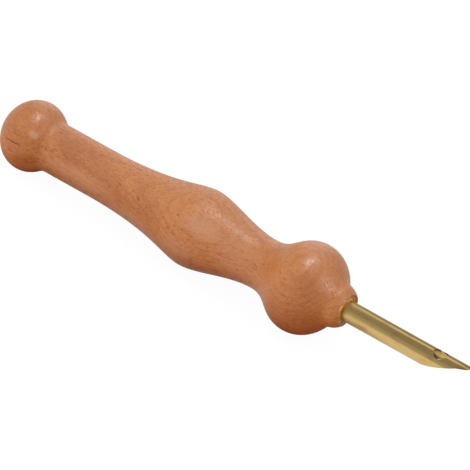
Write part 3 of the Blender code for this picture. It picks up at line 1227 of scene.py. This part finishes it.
@dataclass
class Studio:
    """A pale floor, a bright surround and softboxes.

    Attributes:
        lamps: The softboxes.
        floor_size: Side of the floor, in metres.
        floor_glow, floor_grey: Light of the floor itself, and its colour besides.
        shadow: Colour of the floor in the part's shade.
        shadow_shift: Along and across, from midway between the rear end and the ball to the shade's middle.
        shadow_size: How far the shade reaches along and across, with all its depth.
        shadow_edge: The shade from outside to inside, in shares of that reach.
        shadow_ends: What a mirror sees of it, from the middle to the ends.
        light: Diffuse light of the surround, a little stronger from the near left.
        below, shade: Where the part itself has darkened and warmed that light, and its colour there.
        overhead, near: Where a mirror sees the room unlit overhead, and its level towards the near side.
        unlit: Other parts that a mirror sees unlit: below ahead, on the near right and low behind.
    """

    lamps: tuple[Lamp, ...] = (
        Lamp("overhead_softbox", 178.0, 84.0, 0.9, 0.16, 4.6),
        Lamp("right_softbox", 103.0, 21.0, 0.9, 0.24, 2.8),
        Lamp("front_softbox", -4.0, 43.0, 0.9, 0.22, 0.2),
        Lamp("left_softbox", -50.0, 41.0, 0.9, 0.18, 0.6),
        Lamp("rear_softbox", 203.0, 17.0, 0.9, 0.6, 1.9),
    )
    floor_size: float = 6.0
    floor_glow: float = 0.95
    floor_grey: str = "#585858"
    shadow: str = "#88382C"
    shadow_shift: Pair = (4.0, -4.0)
    shadow_size: Pair = (66.0, 24.0)
    shadow_edge: Ramp = (1.15, 0.7)
    shadow_ends: Ramp = (0.4, 0.7, 0.05, 0.9)
    light: Zone = Zone((-0.45, -0.85, -0.2), (-1.0, 1.0, 0.6885, 0.9396))
    below: Zone = Zone((0.507, -0.051, -0.861), (0.3, 0.65))
    shade: str = "#985A52"
    overhead: Zone = Zone((0.0, -0.5, 0.866), (0.4, 0.7))
    near: Zone = Zone((0.0, -1.0, 0.0), (0.5, 0.85, 0.37, 0.54))
    unlit: tuple[Zone, ...] = (
        Zone((0.6, 0.1, -0.79), (0.48, 0.72, 1.0, 0.15)),
        Zone((0.6, -0.75, 0.3), (0.74, 0.91, 1.0, 0.14)),
        Zone((-0.39, 0.886, 0.25), (0.85, 0.98, 1.0, 0.4)),
    )

    def floor(self, handle: Handle) -> None:
        """Lay a flat sheet that the ball and the rear knob both touch.

        Args:
            handle: Handle that rests on the floor.
        """
        apart = handle.ball_station - handle.knob_station
        lean = (handle.ball_diameter - handle.knob_diameter) / 2 / apart
        touch = -handle.ball_diameter / 2 * math.hypot(1, lean)
        corner = np.linspace(-0.5, 0.5, 3) * self.floor_size / MM
        along, across = np.meshgrid(corner, -corner, indexing="ij")
        height = touch - lean * (along - handle.ball_station)
        forward, aside = self.shadow_shift
        middle = Vector(((handle.rear + handle.ball_station) / 2 + forward, aside, touch))
        flat = Patch(np.stack([along, across, height], axis=-1), ring=False)
        sheet = make_piece("floor", [flat], self.paper(middle * MM))

    def paper(self, middle: Vector) -> bpy.types.Material:
        """Make the floor's matt paper, which glows so that the camera sees it white, with hardly a shadow.

        Bounce light and mirror images see the sheet only where it lies in the handle's shade. That is deep
        where ball and knob touch the sheet, and the shaft between them mirrors a paler one.

        Args:
            middle: Middle of the shade, in metres.

        Returns:
            The material.
        """
        material, add = empty_material("white_floor")
        seen, mirror = sight(add)
        glow = add("Emission", {}, {"Strength": self.floor_glow})[0]
        grey = add("BsdfDiffuse", {}, {"Color": linear(self.floor_grey)})[0]
        white = add("AddShader", {}, (glow, grey))[0]
        place = add("TexCoord", {}, {})["Object"]
        size = (*(side * MM for side in self.shadow_size), 1.0)
        lie = {"Vector": place, "Location": middle, "Scale": size}
        near = add("Mapping", {"vector_type": "TEXTURE"}, lie)[0]
        reach = add("VectorMath", LENGTH, (near,))["Value"]
        shaded = add("MapRange", SMOOTH, (reach, *self.shadow_edge))[0]
        apart = add("SeparateXYZ", {}, (near,))[0]
        apart = add("Math", {"operation": "ABSOLUTE"}, (apart,))[0]
        ends = add("MapRange", SMOOTH, (apart, *self.shadow_ends))[0]
        depth = add("Mix", {"data_type": "FLOAT"}, {0: mirror, 2: 1.0, 3: ends})[0]
        share = add("Math", TIMES, (shaded, depth))[0]
        clear = add("BsdfTransparent", {}, {})[0]
        dark = add("BsdfDiffuse", {}, {"Color": linear(self.shadow)})[0]
        under = add("MixShader", {}, (share, clear, dark))[0]
        shown = add("MixShader", {}, (seen, under, white))[0]
        add("OutputMaterial", {}, {"Surface": shown})
        return material

    def surround(self) -> None:
        """Light the part nearly evenly, and show mirrors a room with unlit parts and the camera white."""
        world = bpy.data.worlds.new("surround")
        bpy.context.scene.world = world
        world.use_nodes = True
        world.node_tree.nodes.clear()
        add = partial(add_node, world.node_tree)
        heading = add("TexCoord", {}, {})["Generated"]
        levels = []
        for zone in (self.light, self.below, self.overhead, self.near, *self.unlit):
            axis = Vector(zone.axis).normalized()
            dot = add("VectorMath", {"operation": "DOT_PRODUCT"}, (heading, axis))
            levels.append(add("MapRange", SMOOTH, (dot["Value"], *zone.ramp))[0])
        strength, shaded, overhead, near, *unlit = levels

        tints = {0: shaded, 6: linear("#FFFFFF"), 7: linear(self.shade)}
        tint = add("Mix", COLOURS, tints)[2]
        plain = add("Background", {}, {"Color": tint, "Strength": strength})[0]
        room = add("Mix", {"data_type": "FLOAT"}, {0: overhead, 2: 1.0, 3: near})[0]
        for level in unlit:
            room = add("Math", TIMES, (room, level))[0]
        mirrored = add("Background", {}, {"Strength": room})[0]
        white = add("Background", {}, {"Strength": 1.0})[0]
        seen, mirror = sight(add)
        lit = add("MixShader", {}, (mirror, plain, mirrored))[0]
        shown = add("MixShader", {}, (seen, lit, white))[0]
        add("OutputWorld", {}, {"Surface": shown})

    def build(self, handle: Handle, shiny: list[bpy.types.Object]) -> None:
        """Lay the floor, light the surround and hang the lamps.

        Args:
            handle: Handle that rests on the floor.
            shiny: Pieces that show the lamps as highlights.
        """
        self.floor(handle)
        self.surround()
        lit = bpy.data.collections.new("lit_by_softboxes")
        for piece in shiny:
            lit.objects.link(piece)
        for lamp in self.lamps:
            lamp.build(lit)
            LOG.info("%s: %.1f W", lamp.name, lamp.power)


@dataclass(frozen=True)
class View:
    """The photograph's camera: a long lens that looks down on the point from its near side.

    Attributes:
        azimuth, elevation, roll: Where the camera stands and how it is turned, in degrees.
        distance: How far it stands from the part.
        scale: Pixels of the picture to a millimetre at the ball.
        picture: Side of the picture in pixels.
        ball_pixel: Where the centre of the ball falls in the picture.
        sensor: Width of the camera's sensor.
    """

    azimuth: float = 27.99
    elevation: float = 33.64
    roll: float = 12.70
    distance: float = 1800.0
    scale: float = 3.72
    picture: float = 470.0
    ball_pixel: Pair = (306.2, 287.73)
    sensor: float = 36.0

    def build(self, ball_station: float) -> None:
        """Set the camera up.

        Args:
            ball_station: Station of the ball's centre.
        """
        data = bpy.data.cameras.new("photo_camera")
        data.sensor_width = self.sensor
        data.lens = self.scale * self.distance * self.sensor / self.picture
        azimuth, elevation = math.radians(self.azimuth), math.radians(self.elevation)
        turned = (
            Matrix.Rotation(azimuth, 3, "Z")
            @ Matrix.Rotation(math.pi / 2 - elevation, 3, "X")
            @ Matrix.Rotation(math.radians(self.roll), 3, "Z")
        )
        right, up, back = turned.col
        across = (self.ball_pixel[0] - self.picture / 2) / self.scale
        down = (self.ball_pixel[1] - self.picture / 2) / self.scale
        aim = Vector((ball_station, 0, 0)) - right * across + up * down
        camera = bpy.data.objects.new("photo_camera", data)
        camera.matrix_world = Matrix.Translation((aim + back * self.distance) * MM) @ turned.to_4x4()
        data.clip_start, data.clip_end = 0.1, 100.0
        bpy.context.scene.collection.objects.link(camera)
        bpy.context.scene.camera = camera


def main() -> None:
    """Build the camera, the three pieces and the studio, in that order."""
    logging.basicConfig(level=logging.INFO, format="%(name)s: %(message)s")
    bpy.context.scene.view_settings.view_transform = "Standard"
    handle = Handle()
    needle = Needle()
    View().build(handle.ball_station)
    wood = handle.build(VarnishedBeech())
    needle.build(DrawnBrass())
    glue = GlueRing().build(handle, needle, AmberGlue())
    Studio().build(handle, [wood, glue])


if __name__ == "__main__":
    main()
